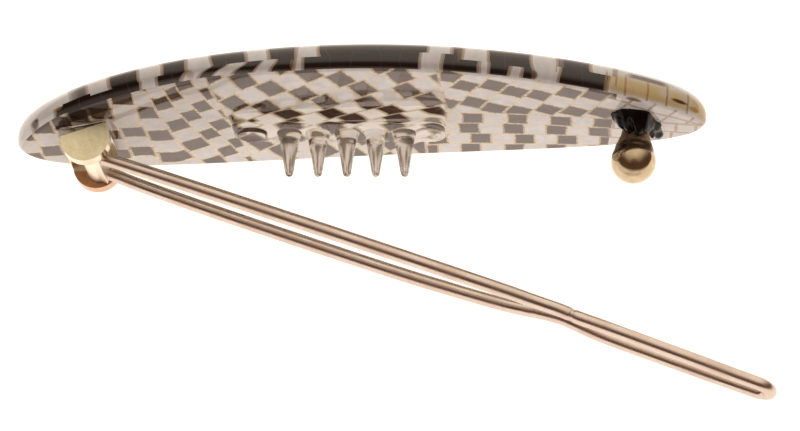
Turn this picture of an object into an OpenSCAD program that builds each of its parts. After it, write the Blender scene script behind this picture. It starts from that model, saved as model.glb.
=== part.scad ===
// Hair barrette with a long oval plate, a swinging wire loop and a ball stud.
// The plate lies along X. Each piece is drawn in the plate's own frame: X along
// the plate, Y across it, Z out of its convex side, with the origin on the
// underside at the middle. resting() then lays the whole object on its long edge.

/* [Plate] */
// Length of the oval plate
plate_l = 100; // [92:1:108]
// Width of the oval plate at the middle
plate_w = 33.8; // [32:0.2:36]
// Thickness over the flat of the plate
plate_t = 5.1; // [4.4:0.1:5.6]
// Share by which the hinge end is fuller and the stud end slimmer
plate_taper = 0.133; // [0:0.005:0.15]
// Radius of the lengthwise arch of the underside
arch_r = 282; // [270:2:300]
// How far the outer face rounds over, measured inwards
round_in = 4.3; // [3:0.1:4.8]
// How far the outer face rounds over, measured down the edge
round_down = 3.7; // [2.8:0.1:3.8]
// Small round where the edge meets the underside
edge_fillet = 0.7; // [0.3:0.1:0.9]

/* [Comb pad] */
// Length of the clear pad
pad_l = 31.1; // [29:0.1:32]
// Width of the clear pad
pad_w = 7.3; // [6.6:0.1:8]
// Thickness of the pad under the middle of the plate
pad_t = 2.66; // [2.2:0.02:3]
// Number of teeth
tooth_n = 5; // [3:1:5]
// Distance from tooth to tooth
tooth_pitch = 4.2; // [4:0.05:4.3]
// Length of a tooth below the pad
tooth_l = 6.8; // [5:0.1:7.2]

/* [Hinge] */
// Radius of the round hinge cheeks
cheek_r = 3.55; // [3.4:0.05:3.7]
// Half the width of the hinge over its cheeks
hinge_half = 6.4; // [6.3:0.05:6.8]
// Thickness of one cheek
cheek_t = 1.8; // [1.6:0.05:1.9]
// Radius of the hinge pin
pin_r = 0.7; // [0.6:0.05:0.75]
// Radius of the barrel that turns on the pin
barrel_r = 1.58; // [1.5:0.01:1.6]

/* [Wire loop] */
// Diameter of the wire
wire_d = 1.75; // [1.6:0.01:1.76]
// Angle of the open wire below the plate's length
wire_open = 20.8; // [16:0.2:60]

/* [Ball stud] */
// Radius of the ball
ball_r = 3.25; // [3:0.05:3.4]
// Height of the ball's centre below the plate
ball_drop = 6.16; // [5.9:0.02:6.5]
// Radius of the stud's neck
neck_r = 1.75; // [1.5:0.05:1.8]

/* [Hidden] */
$fn = 64;
gap = 0.02;                       // clearance between glued or fitted pieces

// How the barrette lies: turned on to its long edge, leaning on the wire's end
rest_turn = [-65.9, -4, 0];
rest_shift = [-4.45, 15.41, 16.32];

// ---- plate shape ------------------------------------------------------------
half_l = plate_l / 2;
half_w = plate_w / 2;
out_n = 2.07;                     // fullness of the outline along X
out_m = 1.78;                     // fullness of the outline along Y
arch_3 = 3.04e-6;                 // the arch falls faster at the hinge end
arch_4 = 0.83e-7;                 // and flattens towards both tips

// Height of the underside at x, and its slope
function arch(x) = -x * x / (2 * arch_r) + arch_3 * pow(x, 3) + arch_4 * pow(x, 4);
function arch_slope(x) = -x / arch_r + 3 * arch_3 * x * x + 4 * arch_4 * pow(x, 3);
// A point h above the underside, square to it
function on_arch(x, y, h) = let (s = atan(arch_slope(x)))
    [x - h * sin(s), y, arch(x) + h * cos(s)];

// The oval outline at angle t, drawn in by inset and shrunk by k
function sgn_pow(v, e) = sign(v) * pow(abs(v), e);
function oval(t, inset, k) =
    let (x = k * (half_l - inset) * sgn_pow(cos(t), 2 / out_n),
         y = k * (half_w - inset) * sgn_pow(sin(t), 2 / out_m))
    [x, y * (1 - plate_taper * x / half_l)];

// Rings of the plate from the middle of the underside, round the edge, to the
// middle of the outer face. Columns: shrink, inset, height
round_steps = 8;
crown = 0.25;
plate_rings = concat(
    [for (k = [1 : 8]) [k / 9, edge_fillet, 0]],
    [for (a = [0 : 30 : 90]) [1, edge_fillet * (1 - sin(a)), edge_fillet * (1 - cos(a))]],
    [for (i = [0 : round_steps]) let (a = 90 * i / round_steps)
        [1, round_in * (1 - cos(a)), plate_t - round_down + round_down * sin(a)]],
    [for (k = [0.8, 0.55, 0.28]) [k, round_in, plate_t + crown * (1 - k * k)]]);
oval_n = 96;

module plate() {
    rings = [for (r = plate_rings) [for (i = [0 : oval_n - 1])
        let (q = oval(360 * i / oval_n, r[1], r[0])) on_arch(q[0], q[1], r[2])]];
    nr = len(rings);
    first = nr * oval_n;
    color([0.55, 0.5, 0.46])
    polyhedron(
        points = concat([for (r = rings) each r],
                        [on_arch(0, 0, 0), on_arch(0, 0, plate_t + crown)]),
        faces = concat(
            [for (i = [0 : oval_n - 1]) [first, i, (i + 1) % oval_n]],
            [for (j = [0 : nr - 2], i = [0 : oval_n - 1], s = [0, 1])
                let (i2 = (i + 1) % oval_n, a = j * oval_n, b = a + oval_n)
                s == 0 ? [a + i, b + i, b + i2] : [a + i, b + i2, a + i2]],
            [for (i = [0 : oval_n - 1]) let (a = (nr - 1) * oval_n)
                [first + 1, a + (i + 1) % oval_n, a + i]]));
}

// ---- clear comb pad ---------------------------------------------------------
pad_x = -3.15;                    // middle of the pad along the plate
pad_y = 0.75;
pad_corner = 2.3;
pad_slope = -0.031;               // the pad's flat face runs slightly down to the stud end
tooth_x = -2.05;                  // middle tooth
function pad_face(x) = -pad_t + pad_slope * x;

// Tooth profile below the pad's face. Columns: depth, radius
tooth_rows = [[-0.3, 1.85], [0, 1.85], [0.25, 1.72], [0.6, 1.55], [1.1, 1.44],
              [2, 1.27], [3.5, 1.03], [5, 0.79], [6.1, 0.62], [6.5, 0.5], [6.72, 0.32], [6.8, 0]];

module tooth() {
    k = tooth_l / 6.8;
    rotate_extrude($fn = 48)
        polygon(concat([[0, 0.3]], [for (r = tooth_rows) [r[1], -r[0] * k]]));
}

module comb_pad() {
    hx = pad_l / 2;
    hy = pad_w / 2;
    color([0.85, 0.82, 0.76]) {
        // The slab: its outline is two bars and four round corners, its top
        // follows the arch of the plate, and its face is flat
        intersection() {
            translate([pad_x, pad_y, -4]) linear_extrude(height = 5) {
                square([pad_l - 2 * pad_corner, pad_w], center = true);
                square([pad_l, pad_w - 2 * pad_corner], center = true);
                for (sx = [-1, 1], sy = [-1, 1])
                    translate([sx * (hx - pad_corner), sy * (hy - pad_corner)]) circle(r = pad_corner);
            }
            translate([0, pad_y + hy + 1, 0]) rotate([90, 0, 0]) linear_extrude(height = pad_w + 2)
                polygon(concat(
                    [for (i = [0 : 16]) let (x = pad_x - hx - 1 + (pad_l + 2) * i / 16)
                        [x, arch(x) - gap]],
                    [for (x = [pad_x + hx + 1, pad_x - hx - 1]) [x, pad_face(x)]]));
        }
        for (i = [0 : tooth_n - 1])
            let (x = tooth_x + (i - (tooth_n - 1) / 2) * tooth_pitch)
            translate([x, pad_y, pad_face(x)]) tooth();
    }
}

// ---- hinge ------------------------------------------------------------------
cheek_x = -39.3;                  // middle of the round cheeks
cheek_z = -5.03;
flat_tilt = 17.6;                 // slope of the flat on top of the cheeks
flat_up = 1.35;                   // from the middle of the cheeks up to the flat
pin_down = 1.15;                  // from the middle of the cheeks down to the pin
slot_half = hinge_half - cheek_t;
barrel_half = slot_half - 0.15;
base_under = barrel_r + 0.15 - pin_down;   // underside of the bridge between the cheeks
pin_half = hinge_half - 0.75;
pivot_x = cheek_x + pin_down * sin(flat_tilt);
pivot_z = cheek_z - pin_down * cos(flat_tilt);

module at_cheeks() translate([cheek_x, 0, cheek_z]) rotate([0, -flat_tilt, 0]) children();
module across(r, half) rotate([90, 0, 0]) cylinder(r = r, h = 2 * half, center = true);

module hinge_bracket() {
    color([0.86, 0.78, 0.6])
    at_cheeks() difference() {
        across(cheek_r, hinge_half);
        // The flat that sits on the plate
        translate([-5, -10, flat_up]) cube([10, 20, 5]);
        // The slot for the barrel
        translate([-5, -slot_half, -5]) cube([10, 2 * slot_half, 5 + base_under]);
        // Blind holes for the pin
        translate([0, 0, -pin_down]) across(pin_r + gap, pin_half + gap);
    }
}

module hinge_pin() {
    color([0.8, 0.7, 0.5])
    at_cheeks() translate([0, 0, -pin_down]) across(pin_r, pin_half);
}

// Clear cement under the hinge: a wedge between its flat and the plate
seat_over = 0.7;                  // how far the cement stands out at the outer end
module hinge_seat() {
    flat_half = sqrt(cheek_r * cheek_r - flat_up * flat_up);
    x0 = cheek_x - flat_half * cos(flat_tilt) - flat_up * sin(flat_tilt) - seat_over;
    x1 = cheek_x + flat_half * cos(flat_tilt) - flat_up * sin(flat_tilt);
    function flat_z(x) = cheek_z + flat_up / cos(flat_tilt) + (x - cheek_x) * tan(flat_tilt);
    color([0.75, 0.7, 0.62])
    translate([0, hinge_half - 0.8, 0]) rotate([90, 0, 0]) linear_extrude(height = 2 * hinge_half - 1.6)
        polygon([[x0, arch(x0) - gap], [x0 + seat_over * 0.15, flat_z(x0 + seat_over) + 0.35],
                 [x0 + seat_over * 0.5, flat_z(x0 + seat_over) + 0.08],
                 [x0 + seat_over, flat_z(x0 + seat_over) + gap], [x1, flat_z(x1) + gap],
                 [x1, arch(x1) - gap], [(x0 + x1) / 2, arch((x0 + x1) / 2) - gap]]);
}

// ---- wire and its barrel, drawn along +X from the pin -------------------------
wire_r = wire_d / 2;
tongue_l = 2.0;
tongue_h = 2.3;
socket_x = 0.98;
wire_side = 3.2;                  // half the distance of the two wires at the barrel
wire_low = -0.15;                 // the wires run just below the pin's middle

module wire_frame() translate([pivot_x, 0, pivot_z]) rotate([0, wire_open, 0]) children();

module hinge_barrel() {
    color([0.84, 0.74, 0.56])
    wire_frame() difference() {
        union() {
            across(barrel_r, barrel_half);
            translate([0, -barrel_half, -tongue_h / 2 + wire_low]) cube([tongue_l, 2 * barrel_half, tongue_h]);
        }
        across(pin_r + 0.05, barrel_half + 1);
        for (s = [-1, 1]) translate([socket_x, s * wire_side, wire_low]) rotate([0, 90, 0])
            cylinder(r = wire_r + gap, h = 3);
    }
}

// One side of the wire. Columns: distance from the pin, half the distance
// between the two sides, rise out of the straight line
wire_rows = [
    [1.1, wire_side, wire_low], [3.2, wire_side, wire_low], [10, 3.42, -0.15], [20, 3.55, -0.15],
    [34, 3.58, -0.15], [48, 3.55, -0.15], [55, 3.32, -0.1], [60, 3.1, -0.05],
    [64, 2.82, 0.01], [67, 2.36, 0.08], [69.6, 1.98, 0.17], [71.8, 1.7, 0.22],
    [73.4, 1.7, 0.1], [75, 1.88, -0.05], [77.8, 2.28, -0.22], [81, 2.42, -0.35],
    [85, 2.38, -0.47], [92, 2.3, -0.68], [97.5, 2.14, -0.85], [101, 2.02, -0.92]];
row_steps = 2;                    // rings from one row to the next
end_steps = 8;                    // rings round the closed end
wire_sides = 12;

// Smooth curve through the rows
function curve(p0, p1, p2, p3, t) = 0.5 * ((2 * p1) + (p2 - p0) * t
    + (2 * p0 - 5 * p1 + 4 * p2 - p3) * t * t + (3 * p1 - p0 - 3 * p2 + p3) * t * t * t);
function row_at(u) = let (n = len(wire_rows) - 1, i = min(floor(u), n - 1), t = u - i)
    curve(wire_rows[max(i - 1, 0)], wire_rows[i], wire_rows[i + 1], wire_rows[min(i + 2, n)], t);
side_path = [for (i = [0 : (len(wire_rows) - 1) * row_steps]) row_at(i / row_steps)];
wire_last = wire_rows[len(wire_rows) - 1];
wire_path = concat(
    [for (p = side_path) [p[0], -p[1], p[2]]],
    [for (i = [1 : end_steps - 1]) let (a = 180 * i / end_steps)
        [wire_last[0] + wire_last[1] * sin(a), -wire_last[1] * cos(a), wire_last[2] - 0.04 * sin(a)]],
    [for (i = [len(side_path) - 1 : -1 : 0]) let (p = side_path[i]) [p[0], p[1], p[2]]]);

function unit(v) = v / norm(v);
module tube(path, r, sides) {
    n = len(path);
    pts = [for (i = [0 : n - 1])
        let (d = unit(i == 0 ? path[1] - path[0] : i == n - 1 ? path[n - 1] - path[n - 2]
                 : unit(path[i + 1] - path[i]) + unit(path[i] - path[i - 1])),
             side = unit(cross([0, 0, 1], d)), up = cross(d, side))
        for (j = [0 : sides - 1]) let (a = 360 * j / sides) path[i] + r * (cos(a) * side + sin(a) * up)];
    polyhedron(points = pts, faces = concat(
        [[for (j = [0 : sides - 1]) j]],
        [for (i = [0 : n - 2], j = [0 : sides - 1], s = [0, 1])
            let (a = i * sides, b = a + sides, j2 = (j + 1) % sides)
            s == 0 ? [a + j, b + j2, a + j2] : [a + j, b + j, b + j2]],
        [[for (j = [sides - 1 : -1 : 0]) (n - 1) * sides + j]]));
}

module wire_loop() {
    color([0.85, 0.68, 0.5])
    wire_frame() tube(wire_path, wire_r, wire_sides);
}

// ---- ball stud --------------------------------------------------------------
stud_x = 40.05;                   // where the stud meets the plate
stud_lean = atan(arch_slope(stud_x));
// Neck of the stud as it widens into the ball. Columns: depth, radius beyond the neck's
neck_rows = [[0.06, 0], [1.3, 0], [2.05, 0.1], [2.7, 0.34], [3.3, 0.66], [4, 0.97], [4.6, 1.18]];

module at_stud() translate([stud_x, 0, arch(stud_x)]) rotate([0, -stud_lean, 0]) children();

module ball_stud() {
    color([0.62, 0.5, 0.32])
    at_stud() rotate_extrude($fn = 96)
        polygon(concat([[0, -0.06]],
            [for (r = neck_rows) [neck_r + r[1], -r[0]]],
            [for (a = [70 : -8 : 6]) [ball_r * cos(a - 50), -ball_drop + ball_r * sin(a - 50)]],
            [for (a = [-50 : -8 : -82]) [ball_r * cos(a), -ball_drop + ball_r * sin(a)]],
            [[0, -ball_drop - ball_r]]));
}

// Dark resin round the foot of the stud, an uneven low dome.
// Columns: direction, reach
seat_rows = [[0, 3.9], [36, 3.6], [72, 4.6], [108, 4.7], [144, 3.5], [180, 3.3],
             [216, 3.6], [252, 4.9], [288, 4.7], [324, 4.1]];
seat_h = 1.25;
// Rings from the rim over the dome to the hole for the neck.
// Columns: share of the way from the hole to the rim, share of the height
seat_rings = [[1, 0.02], [1, 0.22], [0.92, 0.5], [0.76, 0.76], [0.5, 0.93], [0.22, 1], [0, 1], [0, 0.02]];
seat_sides = 40;
seat_hole = (neck_r + gap) / cos(180 / seat_sides);
function seat_reach(a) = let (n = len(seat_rows), u = a / 36, i = floor(u), t = u - i,
    p = [for (k = [-1 : 2]) seat_rows[(i + k + n) % n][1]]) curve(p[0], p[1], p[2], p[3], t);

module stud_seat() {
    nr = len(seat_rings);
    pts = [for (r = seat_rings, j = [0 : seat_sides - 1])
        let (a = 360 * j / seat_sides, d = seat_hole + (seat_reach(a) - seat_hole) * r[0])
        [d * cos(a), d * sin(a), -0.05 - seat_h * r[1]]];
    color([0.1, 0.09, 0.08])
    at_stud() polyhedron(points = pts, faces =
        [for (i = [0 : nr - 1], j = [0 : seat_sides - 1], s = [0, 1])
            let (a = i * seat_sides, b = ((i + 1) % nr) * seat_sides, j2 = (j + 1) % seat_sides)
            s == 0 ? [a + j, a + j2, b + j2] : [a + j, b + j2, b + j]]);
}

// ---- the barrette as it lies --------------------------------------------------
module resting() translate(rest_shift) rotate(rest_turn) children();

resting() plate();
resting() comb_pad();
resting() hinge_seat();
resting() hinge_bracket();
resting() hinge_pin();
resting() stud_seat();
resting() ball_stud();
resting() hinge_barrel();
resting() wire_loop();
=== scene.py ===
"""Looks for the hair barrette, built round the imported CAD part. Lengths in the tables are in millimetres
in the plate's own frame: X along the plate, Y across it, Z out of its convex side."""
import math

import bmesh
import bpy
import numpy as np
from mathutils import Matrix, Vector


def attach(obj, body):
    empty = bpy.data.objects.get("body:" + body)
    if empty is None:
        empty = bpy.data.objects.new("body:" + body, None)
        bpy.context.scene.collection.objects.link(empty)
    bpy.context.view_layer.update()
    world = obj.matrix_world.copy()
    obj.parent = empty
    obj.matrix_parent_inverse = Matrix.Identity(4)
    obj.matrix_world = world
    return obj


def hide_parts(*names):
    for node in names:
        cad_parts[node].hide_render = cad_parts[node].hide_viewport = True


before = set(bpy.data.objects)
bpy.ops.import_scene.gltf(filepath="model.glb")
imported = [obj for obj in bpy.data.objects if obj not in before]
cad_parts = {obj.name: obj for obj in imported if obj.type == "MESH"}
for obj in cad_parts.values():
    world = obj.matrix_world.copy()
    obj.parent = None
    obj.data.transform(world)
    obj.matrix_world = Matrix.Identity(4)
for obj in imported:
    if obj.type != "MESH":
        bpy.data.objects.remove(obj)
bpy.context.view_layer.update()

# ---------------------------------------------------------------- frame of the plate
TURN_X, TURN_Y = math.radians(-65.9), math.radians(-4.0)
SHIFT = np.array([-4.45, 15.41, 16.32])


def rot_x(a):
    return np.array([[1, 0, 0], [0, math.cos(a), -math.sin(a)], [0, math.sin(a), math.cos(a)]])


def rot_y(a):
    return np.array([[math.cos(a), 0, math.sin(a)], [0, 1, 0], [-math.sin(a), 0, math.cos(a)]])


LAY = rot_y(TURN_Y) @ rot_x(TURN_X)


def to_row(p):
    """Points in the plate's frame, mm, to the row frame, m."""
    return (np.asarray(p, float) @ LAY.T + SHIFT) / 1000.0


# ---------------------------------------------------------------- plate shape
HALF_L, HALF_W, PLATE_T, TAPER = 50.0, 16.9, 5.1, 0.133
ARCH_R, ARCH_3, ARCH_4 = 282.0, 3.04e-6, 0.83e-7
ROUND_IN, ROUND_DOWN, FILLET, CROWN = 4.3, 3.7, 0.7, 0.25
OUT_N, OUT_M = 2.07, 1.78


def arch(x):
    return -x * x / (2 * ARCH_R) + ARCH_3 * x ** 3 + ARCH_4 * x ** 4


def arch_slope(x):
    return -x / ARCH_R + 3 * ARCH_3 * x * x + 4 * ARCH_4 * x ** 3


def on_arch(x, y, h):
    s = np.arctan(arch_slope(x))
    return np.stack([x - h * np.sin(s), y + 0 * x, arch(x) + h * np.cos(s)], -1)


def oval(t, inset, k):
    c, s = np.cos(t), np.sin(t)
    x = k * (HALF_L - inset) * np.sign(c) * np.abs(c) ** (2 / OUT_N)
    y = k * (HALF_W - inset) * np.sign(s) * np.abs(s) ** (2 / OUT_M)
    return x, y * (1 - TAPER * x / HALF_L)


PAD_L, PAD_W, PAD_T, PAD_X, PAD_Y, PAD_CORNER, PAD_SLOPE = 31.1, 7.3, 2.66, -3.15, 0.75, 2.3, -0.031


# ---------------------------------------------------------------- mesh helpers
def new_mesh(name, verts, faces, smooth=True):
    """A mesh object from points in the plate's frame."""
    me = bpy.data.meshes.new(name)
    me.from_pydata([tuple(v) for v in to_row(verts)], [], [tuple(int(i) for i in f) for f in faces])
    me.validate()
    me.update()
    o = bpy.data.objects.new(name, me)
    bpy.context.scene.collection.objects.link(o)
    if smooth:
        me.polygons.foreach_set("use_smooth", [True] * len(me.polygons))
    return o


def ring_faces(rings, count, closed_ends=True, first=0):
    """Quads between rings of count points each, and fans at both ends round two extra points."""
    f = []
    i = np.arange(count)
    i2 = (i + 1) % count
    for j in range(rings - 1):
        a, b = first + j * count, first + (j + 1) * count
        f += list(zip(a + i, b + i, b + i2, a + i2))
    if closed_ends:
        lo, hi = first + rings * count, first + rings * count + 1
        a = first + (rings - 1) * count
        f += list(zip(lo + 0 * i, first + i, first + i2))
        f += list(zip(hi + 0 * i, a + i2, a + i))
    return f


def attribute(o, name, values, kind="FLOAT"):
    at = o.data.attributes.new(name, kind, "POINT")
    at.data.foreach_set("vector" if kind == "FLOAT_VECTOR" else "value", np.asarray(values, np.float32).ravel())


def clean(o):
    """Outward normals, no doubled points."""
    bm = bmesh.new()
    bm.from_mesh(o.data)
    bmesh.ops.remove_doubles(bm, verts=bm.verts, dist=1e-7)
    bmesh.ops.recalc_face_normals(bm, faces=bm.faces)
    bm.to_mesh(o.data)
    bm.free()


# ---------------------------------------------------------------- node helpers
class Nodes:
    """Short names for building a material's node tree."""

    def __init__(self, name):
        self.mat = bpy.data.materials.new(name)
        self.mat.use_nodes = True
        self.t = self.mat.node_tree
        self.t.nodes.clear()
        self.out = self.t.nodes.new("ShaderNodeOutputMaterial")

    def put(self, sock, v):
        if isinstance(v, bpy.types.NodeSocket):
            self.t.links.new(v, sock)
        elif v is not None:
            if hasattr(sock.default_value, "__len__") and hasattr(v, "__len__") and len(sock.default_value) == 4 and len(v) == 3:
                v = (*v, 1.0)
            sock.default_value = v

    def math(self, op, a, b=None, c=None, clamp=False):
        n = self.t.nodes.new("ShaderNodeMath")
        n.operation, n.use_clamp = op, clamp
        for s, v in zip(n.inputs, (a, b, c)):
            self.put(s, v)
        return n.outputs[0]

    def add(self, a, b): return self.math("ADD", a, b)
    def sub(self, a, b): return self.math("SUBTRACT", a, b)
    def mul(self, a, b): return self.math("MULTIPLY", a, b)
    def div(self, a, b): return self.math("DIVIDE", a, b)
    def mn(self, a, b): return self.math("MINIMUM", a, b)
    def mx(self, a, b): return self.math("MAXIMUM", a, b)
    def gt(self, a, b): return self.math("GREATER_THAN", a, b)
    def floor(self, a): return self.math("FLOOR", a)
    def fract(self, a): return self.math("FRACT", a)
    def abs(self, a): return self.math("ABSOLUTE", a)

    def smooth(self, v, lo, hi, a=0.0, b=1.0):
        n = self.t.nodes.new("ShaderNodeMapRange")
        n.interpolation_type = "SMOOTHSTEP"
        for s, x in zip(n.inputs, (v, lo, hi, a, b)):
            self.put(s, x)
        return n.outputs[0]

    def linear(self, v, lo, hi, a=0.0, b=1.0):
        n = self.t.nodes.new("ShaderNodeMapRange")
        for s, x in zip(n.inputs, (v, lo, hi, a, b)):
            self.put(s, x)
        return n.outputs[0]

    def mix(self, fac, a, b):
        n = self.t.nodes.new("ShaderNodeMix")
        n.data_type = "RGBA"
        n.clamp_factor = True
        self.put(n.inputs[0], fac)
        self.put(n.inputs[6], a)
        self.put(n.inputs[7], b)
        return n.outputs[2]

    def mixf(self, fac, a, b):
        n = self.t.nodes.new("ShaderNodeMix")
        n.data_type = "FLOAT"
        self.put(n.inputs[0], fac)
        self.put(n.inputs[2], a)
        self.put(n.inputs[3], b)
        return n.outputs[0]

    def attr(self, name):
        n = self.t.nodes.new("ShaderNodeAttribute")
        n.attribute_name = name
        return n

    def xyz(self, v):
        n = self.t.nodes.new("ShaderNodeSeparateXYZ")
        self.put(n.inputs[0], v)
        return n.outputs

    def vec(self, x, y, z=0.0):
        n = self.t.nodes.new("ShaderNodeCombineXYZ")
        for s, v in zip(n.inputs, (x, y, z)):
            self.put(s, v)
        return n.outputs[0]

    def noise(self, v, scale, detail=2.0, rough=0.5, distortion=0.0, dims="3D"):
        n = self.t.nodes.new("ShaderNodeTexNoise")
        n.noise_dimensions = dims
        self.put(n.inputs["Vector"], v)
        self.put(n.inputs["Scale"], scale)
        self.put(n.inputs["Detail"], detail)
        self.put(n.inputs["Roughness"], rough)
        self.put(n.inputs["Distortion"], distortion)
        return n

    def white(self, v):
        n = self.t.nodes.new("ShaderNodeTexWhiteNoise")
        n.noise_dimensions = "3D"
        self.put(n.inputs["Vector"], v)
        return n.outputs["Value"]

    def ramp(self, fac, stops, constant=True):
        """stops: (place, value or colour)"""
        n = self.t.nodes.new("ShaderNodeValToRGB")
        cr = n.color_ramp
        cr.interpolation = "CONSTANT" if constant else "LINEAR"
        while len(cr.elements) > 1:
            cr.elements.remove(cr.elements[-1])
        for i, (p, c) in enumerate(stops):
            e = cr.elements[0] if i == 0 else cr.elements.new(p)
            e.position = p
            e.color = (c, c, c, 1) if not hasattr(c, "__len__") else (*c, 1)
        self.put(n.inputs[0], fac)
        return n.outputs[0]

    def coords(self):
        n = self.t.nodes.new("ShaderNodeTexCoord")
        return n.outputs["Object"]

    def along(self, v, axis):
        """The plate's own X, Y or Z of a point, in mm."""
        d = self.t.nodes.new("ShaderNodeVectorMath")
        d.operation = "DOT_PRODUCT"
        self.put(d.inputs[0], v)
        d.inputs[1].default_value = tuple(1000 * LAY[:, axis])
        return self.sub(d.outputs["Value"], float(SHIFT @ LAY[:, axis]))

    def bump(self, height, strength, distance, normal=None):
        n = self.t.nodes.new("ShaderNodeBump")
        self.put(n.inputs["Strength"], strength)
        self.put(n.inputs["Distance"], distance)
        self.put(n.inputs["Height"], height)
        if normal is not None:
            self.put(n.inputs["Normal"], normal)
        return n.outputs[0]

    def principled(self, **kw):
        n = self.t.nodes.new("ShaderNodeBsdfPrincipled")
        for k, v in kw.items():
            self.put(n.inputs[k.replace("_", " ")], v)
        return n

    def done(self, shader):
        self.put(self.out.inputs[0], shader)
        return self.mat


# Each lath is cut in black and white blocks, and slips along its neighbour. A field gives, for every
# point, the lath number v and the block number u.
def field_mid(x, y):
    """Slanting laths in the middle."""
    return (x - 0.43 * y) / 3.79, (y + 0.77 * x + 8.7) / 5.8 + 0.5


def field_left(x, y):
    """Steep laths towards the hinge."""
    lean = np.clip(0.24 + 0.035 * (x + 25), 0, 0.24)
    d = x - (-24.7 + lean * y)
    v = np.where(d < 0, d / 3.4, d / 2.7)
    v = np.where(d < -13.6, -4 + (d + 13.6) / 2.9, v)
    tilt = np.where(x > -28.2, 0.45 * (x + 25), -1.44 - 0.25 * (x + 28.2))
    pitch = 4.1 + 0.2 * (v < 0) - 0.55 * (v < -2.0) + 0.3 * (v < -4)
    return -(y + tilt) / pitch, v


def field_right(x, y):
    """Level laths towards the stud."""
    d = x - 15.7
    return d / 3.3 + 0.00066 * d * np.abs(d), (11.6 - 0.085 * (x - 15) - y) / (4.02 - 0.03 * (x - 15))


def field_low(x, y):
    """Leaning laths under the level ones."""
    return ((x - 19.5) * 0.44 - (y + 2.3) * 0.898) / 3.5, (x + 0.47 * (y + 2) - 17.5) / 3.8


# Slip of each lath. Columns: lath number, slip in blocks
SLIP_MID = [(-4, 0.4), (-3, 1.5), (-2, 0.1), (-1, 0.96), (0, 1.32), (1, 0.87), (2, 1.27), (3, 0.88), (4, 1.7), (5, 0.8), (6, 1.6)]
SLIP_LEFT = [(-8, 0.3), (-7, 0.82), (-6, 1.08), (-5, 1.65), (-4, 1.98), (-3, 0.18), (-2, 1.77), (-1, 0.4), (0, 0.88), (1, 1.39), (2, 0.2), (3, 1.2)]
SLIP_RIGHT = [(-2, 0.6), (-1, 0.0), (0, 0.5), (1, 0.0), (2, 0.2), (3, 1.3), (4, 0.5)]
SLIP_LOW = [(-4, 0.8), (-3, 0.1), (-2, 1.58), (-1, 0.17), (0, 0.03), (1, 0.24), (2, 1.1), (3, 1.5), (4, 0.04), (5, 0.9), (6, 1.8)]

# Blocks round the rim: where each one starts along the plate, and black (0) or white (1).
RIM_LOW = [(-50, 1), (-46.9, 0.3), (-46.3, 1), (-43.6, 0), (-30.3, 1), (-28, 0), (-24.3, 1), (-22.6, 0), (-20.3, 1), (-17.5, 0),
           (-14.3, 1), (-11.8, 0), (-8.5, 1), (-7.2, 0), (9, 1), (12.2, 0), (17.3, 1), (18.7, 0), (21.6, 1), (23.1, 0), (24.8, 1),
           (28.7, 0), (35.3, 1)]
RIM_TOP = [(-50, 1), (-41, 0.45), (-39.9, 0.25), (-38.3, 1), (-35, 0), (-30.6, 1), (-27.3, 0), (-23.8, 1), (-20.3, 0), (-15.1, 1), (-12, 0), (-8.1, 1),
           (-5, 0), (10.2, 1), (13.4, 0), (15.1, 1), (18.7, 0), (25, 1), (28.4, 0), (28.9, 0.3), (29.2, 0), (33.1, 1), (36.1, 0.2), (36.6, 1)]
# Height where the upper band starts: place along the plate, length of profile in half centimetres
RIM_SPLIT = [(-50, 0.4), (-42, 0.46), (-37.5, 0.36), (-30, 0.42), (-20, 0.46), (8, 0.62), (14.4, 0.45), (19.5, 0.4), (28.5, 0.6), (36.6, 0.3)]
# Stains in the acetate near the rim: place, length of profile, half length, half height, strength
STAINS = [(-46.3, 1.5, 0.55, 0.75, 0.9), (-42.7, 1.8, 0.8, 0.4, 0.6), (-22.9, 1.3, 0.45, 0.75, 0.45), (-8.2, 1.3, 0.4, 0.8, 0.45), (14.8, 3.2, 0.3, 1.3, 0.35),
          (25.2, 1.2, 0.5, 0.6, 0.85), (39.5, 0.25, 1.1, 0.35, 0.9), (45.9, 1.8, 1.1, 0.3, 1.0), (48.0, 1.5, 0.7, 0.35, 0.7)]


def edge_run(h):
    """Length of the edge's profile from the underside up to height h."""
    lo = FILLET * np.arccos(np.clip(1 - h / FILLET, -1, 1))
    flat = FILLET * math.pi / 2 + (h - FILLET)
    a = np.linspace(0, math.pi / 2, 60)
    seg = np.hypot(ROUND_IN * np.diff(-np.cos(a)), ROUND_DOWN * np.diff(np.sin(a)))
    run = np.r_[0, np.cumsum(seg)]
    start = PLATE_T - ROUND_DOWN
    hi = FILLET * math.pi / 2 + (start - FILLET) + np.interp(h, start + ROUND_DOWN * np.sin(a), run)
    return np.where(h < FILLET, lo, np.where(h < start, flat, hi))


NEAR_X, NEAR_Y = oval(np.linspace(math.pi, 2 * math.pi, 401), np.zeros(401), 1)


def fall_away(x, y):
    """The underside falls away gently towards the near edge on the hinge's side."""
    fall = np.clip(1 - (y - np.interp(x, NEAR_X, NEAR_Y)) / 8.5, 0, 1) ** 2
    side = np.clip((x + 50) / 8, 0, 1) * np.clip((-8 - x) / 14, 0, 1)
    return 0.85 * fall * side ** 2 * (3 - 2 * side)


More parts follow.
